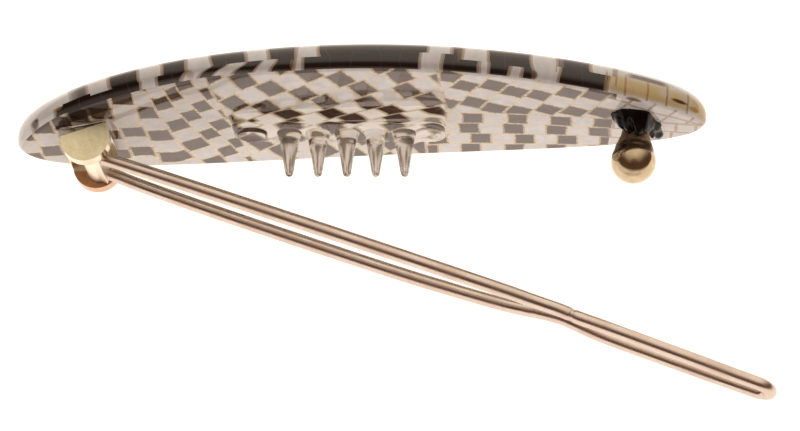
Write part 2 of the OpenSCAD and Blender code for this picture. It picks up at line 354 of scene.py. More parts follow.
def make_plate():
    count = 640
    t = np.linspace(0, 2 * math.pi, count, endpoint=False)
    near = 0.5 - 0.5 * np.sin(t)
    near = np.clip((near - 0.25) / 0.5, 0, 1)
    near = near * near * (3 - 2 * near)
    at = oval(t, 0 * t, 1)[0]
    hinge_side = np.clip((at + 46) / 8, 0, 1) * np.clip((-12 - at) / 14, 0, 1)
    hinge_side = near * hinge_side ** 2 * (3 - 2 * hinge_side)
    tall = FILLET + 0.66 * near + 0.75 * hinge_side     # the near edge is rolled over more
    low = FILLET + 0.66 * near + 0.5 * hinge_side
    start = PLATE_T - ROUND_DOWN + 0.75 * hinge_side
    down = PLATE_T - start
    prof = [("in", k, 0) for k in np.linspace(0.025, 0.985, 40)]
    prof += [("low", 1, a) for a in np.linspace(0, math.pi / 2, 12)]
    prof += [("top", 1, a) for a in np.linspace(0, math.pi / 2, 26)]
    prof += [("out", k, 0) for k in np.linspace(0.975, 0.025, 34)]
    xs, ys, hs, ps = [], [], [], []
    whole = float(edge_run(np.array(PLATE_T)))
    for kind, k, a in prof:
        if kind == "in":
            inset, h, p = low, 0 * low, 0 * low - 1
        elif kind == "low":
            inset, h = low * (1 - math.sin(a)), tall * (1 - math.cos(a))
            p = edge_run(h)
        elif kind == "top":
            inset, h = ROUND_IN * (1 - math.cos(a)) + 0 * low, start + down * math.sin(a)
            p = edge_run(h)
        else:
            inset, h, p = ROUND_IN + 0 * low, PLATE_T + CROWN * (1 - k * k) + 0 * low, whole + (1 - k) * 20 + 0 * low
        x, y = oval(t, inset, k)
        if kind in ("in", "low"):
            h = h + fall_away(x, y) * (1 - h / tall)
        xs.append(x), ys.append(y), hs.append(h), ps.append(p)
    xs = np.concatenate(xs + [[0.0], [0.0]])
    ys = np.concatenate(ys + [[0.0], [0.0]])
    hs = np.concatenate(hs + [[0.0], [PLATE_T + CROWN]])
    ps = np.concatenate(ps + [[-1.0], [whole + 20]])
    o = new_mesh("checked_plate", on_arch(xs, ys, hs), ring_faces(len(prof), count))
    for f, n in ((field_mid, "mid"), (field_left, "left"), (field_right, "right"), (field_low, "low")):
        u, v = f(xs, ys)
        attribute(o, "uv_" + n, np.stack([u, v, 0 * u], 1), "FLOAT_VECTOR")
    # how far a point lies inside each field, in mm
    in_left = (-19.1 + 0.12 * ys) - xs
    in_right = np.minimum(np.minimum(xs - np.where(ys > 8.6, 9.0, 12.6), ys + 0.4), 60)
    in_low = np.minimum(xs - 12.7 - 0.05 * ys, -0.4 - ys)
    attribute(o, "inside", np.stack([in_left, in_right, in_low], 1), "FLOAT_VECTOR")
    attribute(o, "place", np.stack([xs, ys, ps], 1), "FLOAT_VECTOR")
    attribute(o, "border", np.stack([ys - np.interp(xs, NEAR_X, NEAR_Y), 0 * xs, 0 * xs], 1), "FLOAT_VECTOR")
    return o


def lath_field(n, name, slips, pitch, width, wobble):
    """Black or white, distance to the nearest joint in mm, and a random number for the block."""
    uv = n.xyz(n.attr("uv_" + name).outputs["Vector"])
    w = n.xyz(wobble)
    u = n.add(uv[0], n.mul(w[0], 0.16 / pitch))
    v = n.add(uv[1], n.mul(w[1], 0.16 / width))
    row = n.floor(v)
    fv = n.sub(v, row)
    lo = slips[0][0]
    size = 16.0
    stops = [(0.0, slips[0][1] / 2)] + [((i - lo - 0.5 + 1) / size, s / 2) for i, s in slips[1:]]
    slip = n.mul(n.ramp(n.div(n.add(row, 1.0 - lo), size), stops), 2.0)
    uu = n.add(n.sub(u, slip), 0.5)
    cell = n.floor(uu)
    fu = n.sub(uu, cell)
    half = n.fract(n.mul(cell, 0.5))
    tone = n.gt(half, 0.25)
    if name == "left":
        # the two blocks next to the near edge in the lath beside the hinge run the other way
        other = n.mul(n.mul(n.gt(row, -3.5), n.gt(-2.5, row)), n.gt(cell, 1.5))
        tone = n.abs(n.sub(tone, other))
    du = n.mul(n.mn(fu, n.sub(1.0, fu)), pitch)
    dv = n.mul(n.mn(fv, n.sub(1.0, fv)), width)
    rnd = n.white(n.vec(cell, row, float(len(slips))))
    return tone, n.mn(du, dv), rnd


def acetate():
    n = Nodes("checked_acetate")
    place = n.attr("place").outputs["Vector"]
    p = n.xyz(place)
    inside = n.xyz(n.attr("inside").outputs["Vector"])
    flat = n.vec(p[0], p[1], 0.0)
    wob = n.noise(flat, 0.2, 0.0)
    sub = n.t.nodes.new("ShaderNodeVectorMath")
    sub.operation = "MULTIPLY_ADD"
    n.put(sub.inputs[0], wob.outputs["Color"])
    sub.inputs[1].default_value = (4.0, 4.0, 4.0)
    sub.inputs[2].default_value = (-2.0, -2.0, -2.0)
    wobble = sub.outputs[0]
    tone, dist, rnd = lath_field(n, "mid", SLIP_MID, 3.0, 4.4, wobble)
    for i, (name, slips, pitch, width) in enumerate((("left", SLIP_LEFT, 4.2, 3.3), ("right", SLIP_RIGHT, 3.3, 3.8),
                                                     ("low", SLIP_LOW, 3.5, 3.4))):
        t2, d2, r2 = lath_field(n, name, slips, pitch, width, wobble)
        here = n.gt(inside[i], 0.0)
        edge = n.abs(inside[i])
        tone = n.mixf(here, tone, t2)
        dist = n.mn(n.mixf(here, dist, d2), n.add(edge, 0.0))
        rnd = n.mixf(here, rnd, r2)
    # towards the stud end the blocks are all pale, towards the hinge end milky
    pale_r = n.gt(p[0], n.add(36.6, n.mul(p[1], -0.05)))
    pale_l = n.gt(-40.8, p[0])
    tone = n.mx(tone, pale_r)
    tone = n.mx(tone, n.mul(n.mul(pale_l, n.gt(rnd, 0.42)), n.gt(p[1], 5.5)))
    # the rim: blocks cut square to the edge, in two bands
    near = n.gt(0.0, p[1])
    up = n.smooth(p[2], 1.3, 3.2)
    lean = n.mul(n.smooth(p[2], 0.2, 2.6), n.linear(n.abs(n.add(p[0], 17.0)), 2.0, 10.0, 2.6, 0.2))
    wr = n.noise(n.vec(p[0], p[2], 3.0), 0.3, 0.0)
    wx = n.mul(n.sub(wr.outputs["Fac"], 0.5), 0.9)
    xl = n.add(n.sub(p[0], lean), wx)
    xt = n.add(n.add(p[0], wx), n.mul(n.sub(p[2], 4.0), n.linear(p[0], -48.0, -10.0, 0.25, 0.05)))

    def rim_band(x, table, off=0.0):
        s = n.div(n.add(n.add(x, 50.0), off), 100.0)
        return n.ramp(s, [(max(0.0, (a + 50) / 100), c) for a, c in table])

    half_vein = 0.24
    low_t, low_a, low_b = rim_band(xl, RIM_LOW), rim_band(xl, RIM_LOW, half_vein), rim_band(xl, RIM_LOW, -half_vein)
    top_t, top_a, top_b = rim_band(xt, RIM_TOP), rim_band(xt, RIM_TOP, half_vein), rim_band(xt, RIM_TOP, -half_vein)
    split = n.gt(p[2], n.mul(rim_band(p[0], RIM_SPLIT), 5.0))
    # the blocks' edges are a little hazy in the thickness of the rim
    third = 1 / 3
    rim_tone = n.mixf(split, n.mul(n.add(low_t, n.add(low_a, low_b)), third), n.mul(n.add(top_t, n.add(top_a, top_b)), third))
    rim_vein = n.mixf(split, n.abs(n.sub(low_a, low_b)), n.abs(n.sub(top_a, top_b)))
    # fine veins across long blocks
    fine = n.fract(n.div(n.add(p[0], n.mul(wx, 2.0)), 3.55))
    fine = n.smooth(n.abs(n.sub(fine, 0.5)), 0.47, 0.5, 0.0, 0.25)
    rim_vein = n.mx(rim_vein, fine)
    on_rim = n.mul(n.gt(p[2], 0.55), n.gt(6.2, p[2]))
    vein = n.smooth(dist, 0.14, 0.36, 1.0, 0.0)
    vein = n.mixf(on_rim, vein, n.mul(rim_vein, 0.6))
    tone = n.mixf(on_rim, tone, rim_tone)

    # colours
    cloud = n.noise(flat, 0.55, 3.0, 0.6).outputs["Fac"]
    grain = n.noise(n.vec(n.mul(p[0], 1.0), n.mul(p[1], 1.0), p[2]), 2.4, 2.0).outputs["Fac"]
    white = n.mix(n.linear(cloud, 0.3, 0.7), (0.545, 0.56, 0.57), (0.68, 0.70, 0.73))
    white = n.mix(n.mul(rnd, 0.3), white, (0.60, 0.58, 0.54))
    white = n.mix(n.smooth(p[0], -14.0, -26.0, 0.0, 0.16), white, (0.26, 0.20, 0.15))
    white = n.mix(on_rim, white, n.mix(n.linear(cloud, 0.3, 0.7), (0.57, 0.59, 0.61), (0.69, 0.72, 0.75)))
    amber = n.smooth(p[0], 34.0, 37.0)
    band = n.mul(n.smooth(p[2], 0.3, 1.2), n.smooth(p[2], 4.2, 2.6))
    patch = n.mul(band, n.smooth(n.noise(n.vec(p[0], p[2], 1.0), 0.30, 1.0).outputs["Fac"], 0.32, 0.5, 0.45, 1.0))
    white = n.mix(n.mul(amber, n.mx(n.mul(patch, 0.9), 0.06)), white, (0.57, 0.45, 0.20))
    black = n.mix(n.linear(cloud, 0.3, 0.7), (0.048, 0.028, 0.020), (0.084, 0.052, 0.040))
    black = n.mix(on_rim, black, (0.017, 0.0095, 0.007))
    vein_c = n.mix(n.linear(grain, 0.35, 0.65), (0.58, 0.47, 0.27), (0.74, 0.66, 0.48))
    vein_c = n.mix(n.mul(amber, 0.8), vein_c, (0.22, 0.10, 0.03))
    vein_c = n.mix(n.mul(on_rim, 0.8), vein_c, (0.30, 0.15, 0.05))
    col = n.mix(tone, black, white)
    # joints across the rim at the stud end, and a smoky patch above them
    end = n.fract(n.div(n.sub(n.add(p[0], n.mul(wx, 0.6)), 35.3), 2.95))
    end = n.smooth(n.abs(n.sub(end, 0.5)), 0.42, 0.48, 0.0, 1.0)
    end = n.mul(n.mul(end, n.gt(p[0], 35.0)), n.mul(on_rim, n.smooth(p[2], 4.6, 3.0)))
    vein = n.mx(vein, end)
    smoke = n.mul(n.mul(n.smooth(p[0], 38.0, 39.2), n.smooth(p[0], 44.6, 43.2)), n.mul(n.smooth(p[2], 3.3, 3.8), n.smooth(p[2], 5.0, 4.4)))
    col = n.mix(n.mul(smoke, 0.8), col, (0.07, 0.045, 0.035))
    col = n.mix(n.mul(vein, n.linear(grain, 0.2, 0.8, 0.35, 1.0)), col, vein_c)
    # painted shade beside the hinge, along the near edge: the underside's blocks there are coloured near black
    border = n.xyz(n.attr("border").outputs["Vector"])[0]
    beside = n.mul(n.smooth(n.add(p[0], wx), -42.2, -41.2), n.smooth(n.add(p[0], wx), -34.9, -35.4))
    beside = n.mul(beside, n.mul(n.smooth(border, 3.9, 3.3), n.gt(0.6, p[2])))
    col = n.mix(n.mul(beside, 0.9), col, (0.017, 0.0095, 0.007))
    for sx, sp, wide, tall, much in STAINS:
        dx = n.div(n.sub(n.add(p[0], n.mul(wx, 0.8)), sx), wide)
        dp = n.div(n.sub(p[2], sp), tall)
        far = n.add(n.mul(dx, dx), n.mul(dp, dp))
        spot = n.mul(n.smooth(far, 1.6, 0.25, 0.0, much), n.mul(n.gt(0.0, p[1]), n.gt(p[2], -0.5)))
        col = n.mix(spot, col, (0.10, 0.045, 0.012) if much > 0.8 else (0.34, 0.20, 0.05))
    wave = n.noise(flat, 0.12, 1.0).outputs["Fac"]
    bmp = n.bump(wave, 0.25, 0.0006)
    # where the comb pad and the hinge's cement are bonded to the underside: no gloss, and painted light on the white
    # blocks
    bond = n.mul(n.gt(PAD_L / 2, n.abs(n.sub(p[0], PAD_X))), n.gt(PAD_W / 2, n.abs(n.sub(p[1], PAD_Y))))
    bond = n.mx(bond, n.mul(n.gt(3.6, n.abs(n.add(p[0], 40.1))), n.gt(6.0, n.abs(p[1]))))
    bond = n.mul(bond, n.gt(0.0, p[2]))
    # painted light: there the white blocks are coloured almost pure white, brighter than elsewhere, to stand in for
    # the light that reaches them through the clear resin
    col = n.mix(n.mul(n.mul(bond, tone), n.sub(1.0, n.mul(vein, 0.85))), col, (0.98, 0.98, 0.95))
    sh = n.principled(Base_Color=col, Roughness=0.06, IOR=1.55, Normal=bmp)
    dull = n.mul(n.mul(n.smooth(p[0], -44.0, -42.0), n.smooth(p[0], -28.0, -32.0)), n.mul(n.smooth(border, 3.9, 3.3), n.smooth(p[2], 2.6, 1.6)))
    n.put(sh.inputs["Specular IOR Level"], n.mul(n.sub(1.0, n.mx(bond, n.mul(dull, 0.6))), 0.5))
    return n.done(sh.outputs[0])


plate = make_plate()
plate.data.materials.append(acetate())
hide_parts("plate")
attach(plate, "clip")


# ---------------------------------------------------------------- wire
WIRE_ROWS = [
    [1.1, 3.2, -0.15], [3.2, 3.2, -0.15], [10, 3.42, -0.15], [20, 3.55, -0.15],
    [34, 3.58, -0.15], [48, 3.55, -0.15], [55, 3.32, -0.1], [60, 3.1, -0.05],
    [64, 2.82, 0.01], [67, 2.36, 0.08], [69.6, 1.98, 0.17], [71.8, 1.7, 0.22],
    [73.4, 1.7, 0.1], [75, 1.88, -0.05], [77.8, 2.28, -0.22], [81, 2.42, -0.35],
    [85, 2.38, -0.47], [92, 2.3, -0.68], [97.5, 2.14, -0.85], [101, 2.02, -0.92]]
WIRE_R = 0.95
CHEEK_X, CHEEK_Z, FLAT_TILT, PIN_DOWN = -39.3, -5.03, math.radians(17.6), 1.15
PIVOT = np.array([CHEEK_X + PIN_DOWN * math.sin(FLAT_TILT), 0, CHEEK_Z - PIN_DOWN * math.cos(FLAT_TILT)])
WIRE_TURN = rot_y(math.radians(20.8))


def curve_row(rows, u):
    rows = np.asarray(rows, float)
    k = len(rows) - 1
    i = min(int(math.floor(u)), k - 1)
    t = u - i
    p0, p1, p2, p3 = rows[max(i - 1, 0)], rows[i], rows[i + 1], rows[min(i + 2, k)]
    return 0.5 * (2 * p1 + (p2 - p0) * t + (2 * p0 - 5 * p1 + 4 * p2 - p3) * t * t + (3 * p1 - p0 - 3 * p2 + p3) * t ** 3)


def wire_path():
    fine = [i / 8 for i in range((len(WIRE_ROWS) - 1) * 8 + 1)]
    fine = sorted(set(fine + [10 + i / 24 for i in range(49)]))
    side = [curve_row(WIRE_ROWS, u) for u in fine]
    last = WIRE_ROWS[-1]
    path = [(p[0], -p[1], p[2]) for p in side]
    for i in range(1, 28):
        a = math.pi * i / 28
        path.append((last[0] + last[1] * math.sin(a), -last[1] * math.cos(a), last[2] - 0.04 * math.sin(a)))
    for p in reversed(side):
        free = math.sin(math.pi * min(max((p[0] - 4) / 64, 0), 1)) ** 0.5
        path.append((p[0], p[1] + 0.3 * free, p[2] - 0.3 * free))
    return np.array(path)


def make_wire():
    path = wire_path()
    d = np.gradient(path, axis=0)
    d /= np.linalg.norm(d, axis=1)[:, None]
    side = np.cross([0, 0, 1], d)
    side /= np.linalg.norm(side, axis=1)[:, None]
    up = np.cross(d, side)
    sides = 32
    a = np.linspace(0, 2 * math.pi, sides, endpoint=False)
    # a small crease where the near side is pinched in
    crease = np.where(path[:, 1] < 0, 0.15 * np.exp(-((path[:, 0] - 73.6) / 0.3) ** 2), 0)
    full = np.sin(np.pi * np.clip(path[:, 0] / 80, 0, 1)) ** 0.5
    thick = (WIRE_R * (1 - crease) * (0.97 + 0.09 * full))[:, None, None]
    ring = path[:, None, :] + thick * (np.cos(a)[None, :, None] * side[:, None, :] + np.sin(a)[None, :, None] * up[:, None, :])
    pts = np.concatenate([ring.reshape(-1, 3), path[:1], path[-1:]])
    run = np.r_[0, np.cumsum(np.linalg.norm(np.diff(path, axis=0), axis=1))]
    along = np.concatenate([np.repeat(run, sides), run[:1], run[-1:]])
    pts = pts @ WIRE_TURN.T + PIVOT
    o = new_mesh("wire", pts, ring_faces(len(path), sides))
    attribute(o, "along", along)
    clean(o)
    return o


def gilt(name, tint, dark, rough, streak=0.0, spots=0.3):
    """Plated metal: slightly uneven colour, a few dull patches and fine scratches."""
    n = Nodes(name)
    c = n.coords()
    big = n.noise(c, 190.0, 3.0, 0.6).outputs["Fac"]
    small = n.noise(c, 1400.0, 2.0).outputs["Fac"]
    col = n.mix(n.smooth(big, 0.35, 0.75, 0.0, spots), tint, dark)
    col = n.mix(n.linear(small, 0.35, 0.65, 0.0, 0.18), col, dark)
    r = n.linear(big, 0.3, 0.7, rough * 0.75, rough * 1.35)
    b = n.bump(small, 0.12 + streak, 0.00002)
    return n.done(n.principled(Base_Color=col, Metallic=1.0, Roughness=r, Normal=b).outputs[0])


wire = make_wire()
wire.data.materials.append(gilt("rose_gilt", (0.65, 0.585, 0.525), (0.50, 0.34, 0.25), 0.26))
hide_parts("wire_loop")
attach(wire, "wire")


# ---------------------------------------------------------------- hinge and stud
def dress(node, mat):
    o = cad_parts[node]
    o.data.materials.clear()
    o.data.materials.append(mat)
    return o


def bevel(o, width, segments=3):
    m = o.modifiers.new("edges", "BEVEL")
    m.width, m.segments, m.limit_method, m.angle_limit = width / 1000, segments, "ANGLE", math.radians(35)
    m.harden_normals = True


def bracket_gilt():
    """Sawn matte ends and polished round flanks. Inside the slot, a painted highlight in pale cream on the inner
    faces, and painted shade in copper-brown low down on them and on the far cheek.
    """
    n = Nodes("pale_gilt")
    c = n.coords()
    y = n.along(c, 1)
    big = n.noise(c, 190.0, 3.0, 0.6).outputs["Fac"]
    small = n.noise(c, 1500.0, 3.0, 0.6).outputs["Fac"]
    end = n.gt(n.abs(y), 6.36)
    face = n.mul(n.gt(4.72, y), n.gt(y, 4.4))
    inner = n.mul(face, n.smooth(n.along(c, 2), -5.5, -6.1))
    matte = n.mix(n.linear(small, 0.3, 0.7), (0.66, 0.62, 0.42), (0.80, 0.76, 0.53))
    bright = n.mix(n.smooth(big, 0.4, 0.7), (0.82, 0.74, 0.60), (0.70, 0.58, 0.40))
    copper = n.mix(n.linear(small, 0.3, 0.7), (0.50, 0.27, 0.15), (0.60, 0.36, 0.22))
    # painted highlight: the inner faces coloured pale cream
    col = n.mix(face, n.mix(end, bright, matte), (0.96, 0.92, 0.82))
    # painted shade: copper-brown low on the inner faces and, at three quarters strength, low on the far cheek
    far = n.mul(n.gt(y, 4.72), n.mul(n.smooth(n.along(c, 2), -6.2, -7.2), n.gt(6.36, y)))
    col = n.mix(n.mx(inner, n.mul(far, 0.75)), col, copper)
    r = n.mixf(n.mx(end, face), n.linear(big, 0.3, 0.7, 0.14, 0.24), n.linear(big, 0.3, 0.7, 0.40, 0.50))
    return n.done(n.principled(Base_Color=col, Metallic=1.0, Roughness=r, Normal=n.bump(small, 0.2, 0.00002)).outputs[0])


hinge_gilt = bracket_gilt()
for node in ("hinge_bracket", "hinge_pin"):
    dress(node, hinge_gilt)
dress("hinge_barrel", gilt("barrel_gilt", (0.95, 0.89, 0.76), (0.74, 0.62, 0.44), 0.36))
bevel(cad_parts["hinge_barrel"], 0.12)
bevel(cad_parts["hinge_bracket"], 0.1)

STUD_X, BALL_R, BALL_DROP, NECK_R = 40.05, 3.25, 6.16, 1.75
LEAN = math.atan(arch_slope(STUD_X))
AT_STUD = rot_y(-LEAN)


def on_stud(p):
    return np.asarray(p, float) @ AT_STUD.T + [STUD_X, 0, arch(STUD_X)]


def make_ball():
    neck = [[0.06, 0.2], [1.3, 0.2], [2.05, 0.27], [2.7, 0.45], [3.3, 0.7], [4, 0.99], [4.6, 1.18]]
    rows = [[d, NECK_R + e] for d, e in neck]
    fine = [list(curve_row(rows, i / 8)) for i in range((len(rows) - 1) * 8 - 3)]
    # the neck runs smoothly on to the ball
    a0 = math.degrees(math.asin((BALL_DROP - fine[-1][0]) / BALL_R))
    for a in np.linspace(a0 - 4, -89, 60):
        fine.append([BALL_DROP - BALL_R * math.sin(math.radians(a)), BALL_R * math.cos(math.radians(a))])
    r = np.array(fine)
    for _ in range(3):
        r[30:60] = 0.25 * r[29:59] + 0.5 * r[30:60] + 0.25 * r[31:61]
    steps = 128
    a = np.linspace(0, 2 * math.pi, steps, endpoint=False)
    pts = np.concatenate([np.stack([q[1] * np.cos(a), q[1] * np.sin(a), 0 * a - q[0]], 1) for q in r]
                         + [[[0, 0, -0.06]], [[0, 0, -BALL_DROP - BALL_R]]])
    o = new_mesh("ball", on_stud(pts), ring_faces(len(r), steps))
    clean(o)
    return o


ball = make_ball()


def stud_gilt():
    """Pale gilt, rubbed through to copper on the neck, with a painted dark reflection: a near-black band round the
    ball's upper part, where the neck runs on to it.
    """
    n = Nodes("stud_gilt")
    c = n.coords()
    z = n.along(c, 2)
    big = n.noise(c, 240.0, 3.0, 0.6).outputs["Fac"]
    small = n.noise(c, 900.0, 2.0).outputs["Fac"]
    col = n.mix(n.smooth(big, 0.38, 0.72, 0.0, 0.4), (0.58, 0.50, 0.34), (0.26, 0.16, 0.09))
    col = n.mix(n.linear(small, 0.35, 0.65, 0.0, 0.2), col, (0.20, 0.12, 0.06))
    neck = n.smooth(n.add(z, n.mul(n.sub(big, 0.5), 1.2)), -6.4, -5.5)
    col = n.mix(neck, col, n.mix(n.linear(small, 0.3, 0.7), (0.46, 0.33, 0.24), (0.30, 0.20, 0.14)))
    # painted dark reflection: a near-black band round the ball's upper part, where the neck runs on to it
    painted_ring = n.add(z, n.mul(n.sub(big, 0.5), 0.9))
    painted_ring = n.mul(n.smooth(painted_ring, -8.1, -7.55), n.smooth(painted_ring, -5.8, -6.4))
    col = n.mix(n.mul(painted_ring, 0.93), col, (0.045, 0.022, 0.012))
    r = n.add(n.linear(big, 0.3, 0.7, 0.12, 0.19), n.mul(neck, 0.32))
    return n.done(n.principled(Base_Color=col, Metallic=1.0, Roughness=r, Normal=n.bump(small, 0.15, 0.00002)).outputs[0])


ball.data.materials.append(stud_gilt())
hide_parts("ball_stud")
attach(ball, "clip")


def clear_resin(name, tint, rough=0.05, frosted=None):
    """Clear plastic; frosted: height below which it is scuffed."""
    n = Nodes(name)
    c = n.coords()
    cloud = n.noise(c, 260.0, 3.0, 0.6).outputs["Fac"]
    col = n.mix(n.smooth(cloud, 0.35, 0.7), tint, tuple(0.95 * x for x in tint))
    r = n.linear(cloud, 0.3, 0.7, rough, rough * 2.5)
    if frosted:
        low = n.smooth(n.along(c, 2), frosted + 0.3, frosted - 0.3)
        r = n.mixf(low, r, n.linear(cloud, 0.3, 0.7, 0.16, 0.26))
        col = n.mix(low, col, (0.93, 0.90, 0.86))
    b = n.bump(cloud, 0.12, 0.0002)
    sh = n.principled(Base_Color=col, Roughness=r, IOR=1.49, Normal=b)
    sh.inputs["Transmission Weight"].default_value = 1.0
    through = n.t.nodes.new("ShaderNodeBsdfTransparent")
    n.put(through.inputs[0], tuple(x ** 0.3 for x in tint))
    lp = n.t.nodes.new("ShaderNodeLightPath")
    m = n.t.nodes.new("ShaderNodeMixShader")
    n.put(m.inputs[0], lp.outputs["Is Shadow Ray"])
    n.put(m.inputs[1], sh.outputs[0])
    n.put(m.inputs[2], through.outputs[0])
    return n.done(m.outputs[0])


def make_cement():
    """Clear cement between the hinge's flat and the plate, with a rounded lip at the outer end."""
    flat_half = math.sqrt(3.55 ** 2 - 1.35 ** 2)
    x0 = CHEEK_X - flat_half * math.cos(FLAT_TILT) - 1.35 * math.sin(FLAT_TILT) - 0.7
    x1 = CHEEK_X + flat_half * math.cos(FLAT_TILT) - 1.35 * math.sin(FLAT_TILT) + 0.15

    def flat_z(x):
        return CHEEK_Z + 1.35 / math.cos(FLAT_TILT) + (x - CHEEK_X) * math.tan(FLAT_TILT)

    n, m = 40, 40
    rows = []
    for i in range(n + 1):
        q = i / n
        x = x0 + (x1 - x0) * q
        top = arch(x) + 0.03
        lip = max(0.0, 1 - (x - x0) / 0.9)
        deep = (top - flat_z(max(x, x0 + 0.5)) - 0.02) * math.sqrt(max(0.0, 1 - lip ** 2.4)) + 0.02
        ring = []
        for j in range(m):
            a = 2 * math.pi * j / m
            c, sn = math.cos(a), math.sin(a)
            yy = abs(c) ** 0.28 * (1 if c > 0 else -1)
            zz = abs(sn) ** 0.6 * (1 if sn > 0 else -1)
            half = 5.75 + 0.55 * (0.5 + 0.5 * zz) ** 2 - 0.9 * lip ** 2
            up = float(fall_away(x, yy * half)) * (0.5 + 0.5 * zz)
            ring.append([x, yy * half, top - deep * (0.5 - 0.5 * zz) + up])
        rows.append(np.array(ring))
    pts = np.concatenate(rows + [[rows[0].mean(0)], [rows[-1].mean(0)]])
    o = new_mesh("cement", pts, ring_faces(len(rows), m))
    clean(o)
    return o


cement = make_cement()
cement.data.materials.append(clear_resin("clear_cement", (0.93, 0.90, 0.84)))
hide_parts("hinge_seat")
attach(cement, "clip")


SEAT_REACH = [3.5, 4.1, 3.0, 2.5, 2.6, 3.3, 4.5, 5.1, 4.5, 3.3]


def make_resin():
    """The blob of dark resin round the foot of the stud, lumpy, with a small run of resin."""
    steps, rings = 144, 30
    a = np.linspace(0, 2 * math.pi, steps, endpoint=False)
    k = a / (math.pi / 5)
    i = np.floor(k).astype(int)
    f = k - i
    g = np.array(SEAT_REACH)
    p0, p1, p2, p3 = g[(i - 1) % 10], g[i % 10], g[(i + 1) % 10], g[(i + 2) % 10]
    reach = 0.5 * (2 * p1 + (p2 - p0) * f + (2 * p0 - 5 * p1 + 4 * p2 - p3) * f * f + (3 * p1 - p0 - 3 * p2 + p3) * f ** 3)
    reach = reach + 0.12 * np.sin(5 * a + 1.0) + 0.10 * np.sin(9 * a + 0.4) - 0.12
    pts = []
    for q in np.linspace(0, 1, rings):
        # q runs from the rim to the neck
        share = 1 - q
        d = NECK_R - 0.1 + (reach - NECK_R + 0.1) * share
        high = 0.95 + 1.5 * np.maximum(0, -np.sin(a)) ** 1.2 + 0.55 * np.maximum(0, np.cos(a))
        dome = np.maximum(0, 1 - share ** 2.2) ** 0.8 * high
        x, y = d * np.cos(a), d * np.sin(a)
        lump = (0.20 * np.sin(2.1 * x + 0.8) * np.sin(1.9 * y + 1.1) + 0.12 * np.sin(4.3 * x - 2.2 * y + 0.5))
        lump = lump + 0.35 * np.exp(-((x - 1.6) ** 2 + (y + 2.9) ** 2) / 1.1) + 0.3 * np.exp(-((x + 1.9) ** 2 + (y + 2.6) ** 2) / 0.9)
        run = 0.95 * np.exp(-((x - 2.75) ** 2 + (y - 2.0) ** 2) / 0.28)
        h = (1.0 + lump + run) * dome
        pts.append(np.stack([x, y, -h + 0.03], 1))
    pts = np.concatenate(pts)
    n = len(pts)
    hole = np.stack([(NECK_R - 0.1) * np.cos(a), (NECK_R - 0.1) * np.sin(a), 0 * a + 0.03], 1)
    pts = np.concatenate([pts, hole])
    j = np.arange(steps)
    j2 = (j + 1) % steps
    faces = []
    for r in range(rings + 1):
        b, c = r * steps, ((r + 1) % (rings + 1)) * steps
        faces += list(zip(b + j, b + j2, c + j2, c + j))
    # a run of resin along the plate, beyond the stud
    first = len(pts)
    k, m = 24, 20
    b = np.linspace(0, 2 * math.pi, m, endpoint=False)
    tail = []
    for q in np.linspace(0.02, 0.98, k):
        fat = math.sin(math.pi * q) ** 0.45 * (1.0 + 0.35 * math.cos(9.0 * q))
        tail.append(np.stack([3.05 + 0.45 * math.sin(3.2 * q) + 0.5 * fat * np.cos(b), 0.6 + 5.6 * q + 0 * b, -0.42 * fat * np.maximum(np.sin(b), -0.2)], 1))
    tail.append(tail[0].mean(0)[None]), tail.append(tail[k - 1].mean(0)[None])
    pts = np.concatenate([pts] + tail)
    faces += ring_faces(k, m, first=first)
    o = new_mesh("resin", on_stud(pts), faces)
    clean(o)
    return o


resin = make_resin()
n = Nodes("dark_resin")
c = n.coords()
lumps = n.noise(c, 420.0, 3.0, 0.55, 0.6).outputs["Fac"]
col = n.mix(n.smooth(lumps, 0.4, 0.75), (0.005, 0.004, 0.004), (0.020, 0.012, 0.009))
resin.data.materials.append(n.done(n.principled(Base_Color=col, Roughness=0.07, IOR=1.22, Normal=n.bump(lumps, 0.25, 0.0007)).outputs[0]))
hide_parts("stud_seat")
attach(resin, "clip")

# ---------------------------------------------------------------- comb pad
TOOTH_X, TOOTH_PITCH, TOOTH_N = -2.05, 4.2, 5
TOOTH_ROWS = [[-0.5, 1.85], [0, 1.86], [0.3, 1.75], [0.7, 1.62], [1.08, 1.52], [1.2, 1.43], [1.4, 1.39],
              [2, 1.28], [3.5, 1.03], [5, 0.79], [6.1, 0.62], [6.5, 0.5], [6.72, 0.32], [6.8, 0.001]]


def pad_face(x):
    return -PAD_T + PAD_SLOPE * x


def lathe(rows, steps=48, per=4):
    """Rings of a turned shape. rows: depth, radius. Returns points and faces, depth along -Z."""
    rr = [curve_row(rows, i / per) for i in range((len(rows) - 1) * per + 1)] if per > 1 else [np.array(r, float) for r in rows]
    a = np.linspace(0, 2 * math.pi, steps, endpoint=False)
    pts = np.concatenate([np.stack([max(r[1], 1e-4) * np.cos(a), max(r[1], 1e-4) * np.sin(a), np.full(steps, -r[0])], 1) for r in rr]
                         + [[[0, 0, -rr[0][0]]], [[0, 0, -rr[-1][0]]]])
    return pts, ring_faces(len(rr), steps)


def pad_outline(inset):
    """Half of the pad's outline from the stud end to the hinge end, then its mirror image."""
    hx, hy, r = PAD_L / 2 - inset, PAD_W / 2 - inset, PAD_CORNER - inset
    half = [(hx, y) for y in np.linspace(0, hy - r, 4)[:-1]]
    half += [(hx - r + r * math.cos(a), hy - r + r * math.sin(a)) for a in np.linspace(0, math.pi / 2, 11)]
    half += [(x, hy) for x in np.linspace(hx - r, r - hx, 42)[1:-1]]
    half += [(r - hx + r * math.cos(a), hy - r + r * math.sin(a)) for a in np.linspace(math.pi / 2, math.pi, 11)]
    half += [(-hx, y) for y in np.linspace(hy - r, 0, 4)[1:]]
    full = half + [(x, -y) for x, y in reversed(half[1:-1])]
    return np.array(full) + [PAD_X, PAD_Y]


